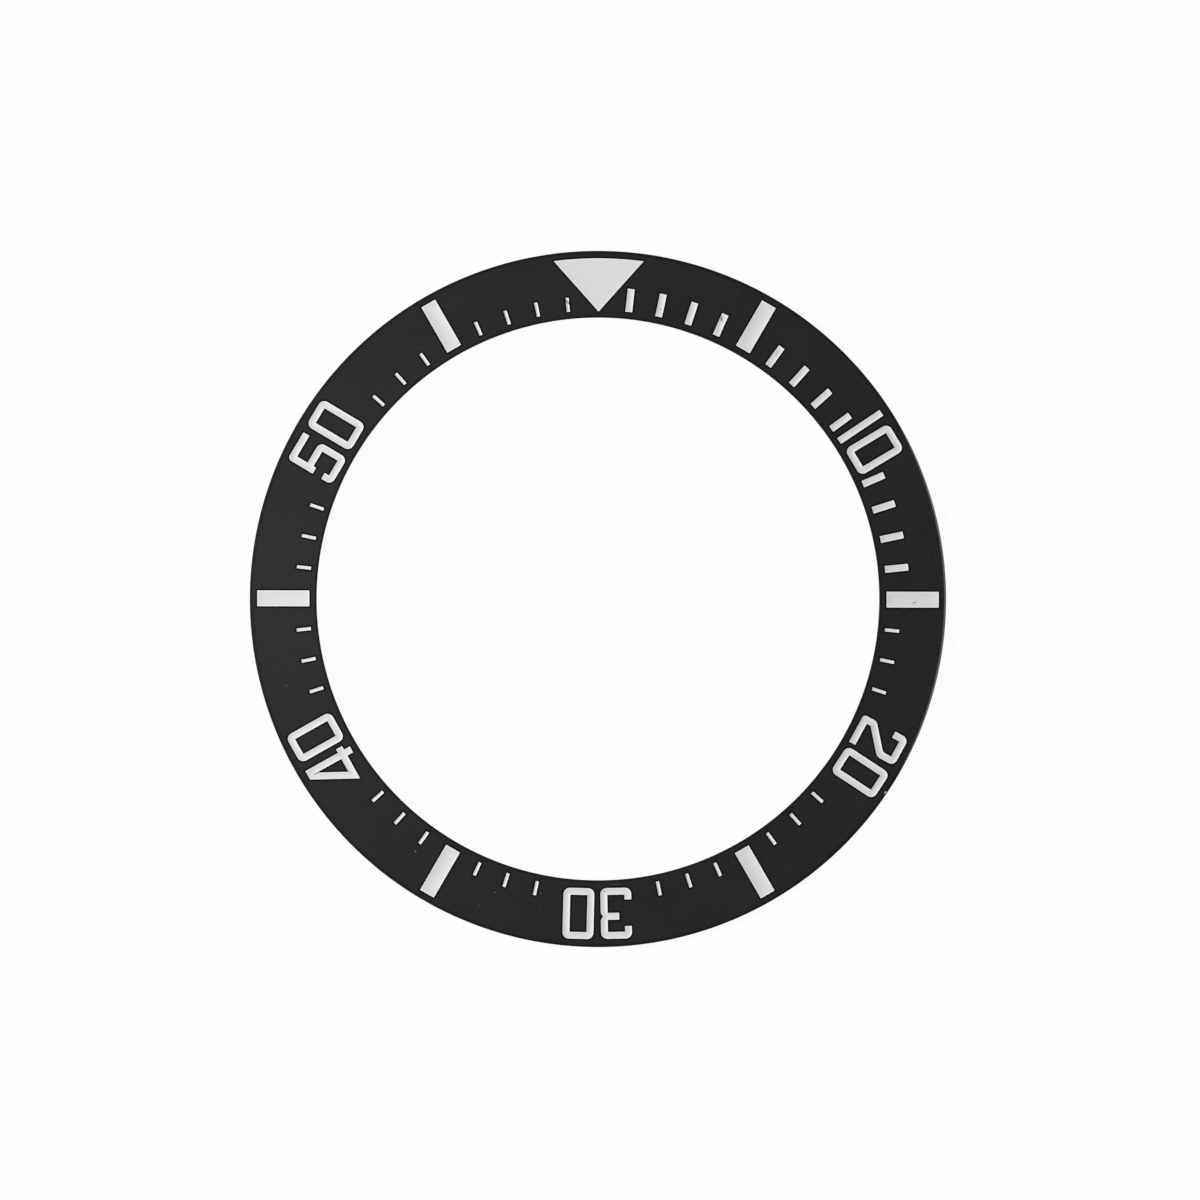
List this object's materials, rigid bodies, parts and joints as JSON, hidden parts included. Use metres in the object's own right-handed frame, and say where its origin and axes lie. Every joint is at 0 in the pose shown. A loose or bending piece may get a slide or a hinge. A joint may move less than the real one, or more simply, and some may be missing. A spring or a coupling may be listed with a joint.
{
  "type": "watch bezel insert",
  "caption": "Thin sloped ceramic ring that sits in a rotating watch bezel, with engraved and filled minute marks, bars, numerals and a zero triangle.",
  "frame": {"origin": "on the ring's axis, at the underside of the adhesive ring", "axes": "+Z out of the marked face, +Y towards the zero triangle, so the minutes run clockwise as seen from +Z"},
  "size_m": [0.038, 0.038, 0.0013],
  "materials": {
    "ceramic": "satin black",
    "mark_fill": "matt silver-white lacquer",
    "adhesive": "matt double-sided tape"
  },
  "bodies": {
    "root": {"insert_ring": "ceramic", "adhesive_ring": "adhesive", "triangle_fill": "mark_fill", "bar_05_fill": "mark_fill", "bar_15_fill": "mark_fill", "bar_25_fill": "mark_fill", "bar_35_fill": "mark_fill", "bar_45_fill": "mark_fill", "bar_55_fill": "mark_fill", "numeral_10_tens_fill": "mark_fill", "numeral_10_units_fill": "mark_fill", "numeral_20_tens_fill": "mark_fill", "numeral_20_units_fill": "mark_fill", "numeral_30_tens_fill": "mark_fill", "numeral_30_units_fill": "mark_fill", "numeral_40_tens_fill": "mark_fill", "numeral_40_units_fill": "mark_fill", "numeral_50_tens_fill": "mark_fill", "numeral_50_units_fill": "mark_fill", "tick_01_fill": "mark_fill", "tick_02_fill": "mark_fill", "tick_03_fill": "mark_fill", "tick_04_fill": "mark_fill", "tick_06_fill": "mark_fill", "tick_07_fill": "mark_fill", "tick_08_fill": "mark_fill", "tick_09_fill": "mark_fill", "tick_11_fill": "mark_fill", "tick_12_fill": "mark_fill", "tick_13_fill": "mark_fill", "tick_14_fill": "mark_fill", "tick_16_fill": "mark_fill", "tick_17_fill": "mark_fill", "tick_18_fill": "mark_fill", "tick_22_fill": "mark_fill", "tick_23_fill": "mark_fill", "tick_24_fill": "mark_fill", "tick_26_fill": "mark_fill", "tick_27_fill": "mark_fill", "tick_28_fill": "mark_fill", "tick_32_fill": "mark_fill", "tick_33_fill": "mark_fill", "tick_34_fill": "mark_fill", "tick_36_fill": "mark_fill", "tick_37_fill": "mark_fill", "tick_38_fill": "mark_fill", "tick_42_fill": "mark_fill", "tick_43_fill": "mark_fill", "tick_44_fill": "mark_fill", "tick_46_fill": "mark_fill", "tick_47_fill": "mark_fill", "tick_48_fill": "mark_fill", "tick_52_fill": "mark_fill", "tick_53_fill": "mark_fill", "tick_54_fill": "mark_fill", "tick_56_fill": "mark_fill", "tick_57_fill": "mark_fill", "tick_58_fill": "mark_fill", "tick_59_fill": "mark_fill"}
  },
  "joints": []
}
